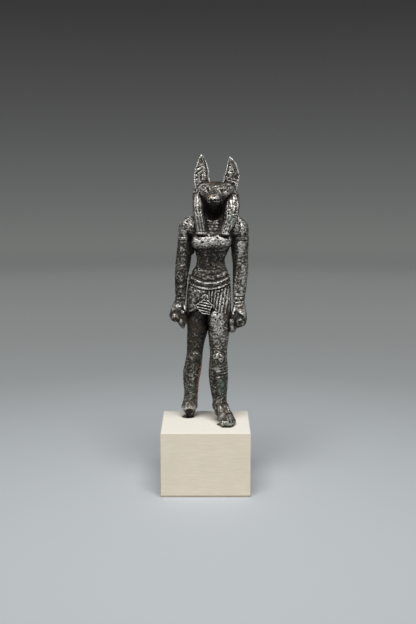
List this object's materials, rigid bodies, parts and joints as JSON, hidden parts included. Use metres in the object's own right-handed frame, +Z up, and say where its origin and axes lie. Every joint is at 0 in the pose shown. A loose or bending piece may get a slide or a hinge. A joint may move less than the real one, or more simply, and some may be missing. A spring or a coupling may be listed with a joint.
{
  "type": "standing jackal-headed statuette",
  "caption": "Small dark bronze jackal-headed striding figure with tripartite wig and pleated kilt, held up by its tangs in a cream painted wood block.",
  "frame": {"origin": "centre of the block's underside", "axes": "+Z up, the figure faces -Y, and +X is to the right of someone who looks at its face"},
  "size_m": [0.048, 0.046, 0.1815],
  "materials": {
    "bronze": "solid cast bronze, dark brown-black patina, porous and pitted, with paler worn edges and small green spots",
    "painted_wood": "smooth wood under matt cream paint, faint grain and softened edges"
  },
  "bodies": {
    "root": {"anubis_figure": "bronze", "mount_block": "painted_wood"}
  },
  "joints": []
}
